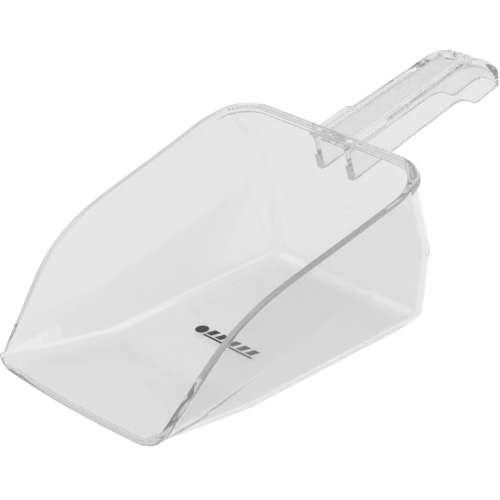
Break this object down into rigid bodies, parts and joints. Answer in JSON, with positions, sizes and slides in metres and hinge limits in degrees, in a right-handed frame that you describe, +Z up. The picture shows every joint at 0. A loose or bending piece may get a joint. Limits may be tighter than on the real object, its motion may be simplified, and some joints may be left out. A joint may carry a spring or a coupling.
{
  "type": "feed scoop",
  "caption": "Clear moulded feed scoop with a creased open bowl, ramped lip, flanged rear rim, hollow channel handle with a hanging hole, and a small printed mark.",
  "frame": {"origin": "on the surface that the scoop rests on, under the middle of its overall box", "axes": "+Y from the lip to the handle's tip, +Z up out of the bowl, +X across the bowl, with the scoop symmetric about X = 0 apart from its mark"},
  "size_m": [0.1462, 0.2884, 0.1027],
  "materials": {
    "clear_plastic": "clear, polished moulding",
    "black_ink": "matt printed ink"
  },
  "bodies": {
    "root": {"bowl": "clear_plastic", "rear_flange": "clear_plastic", "handle": "clear_plastic", "printed_mark": "black_ink"}
  },
  "joints": []
}
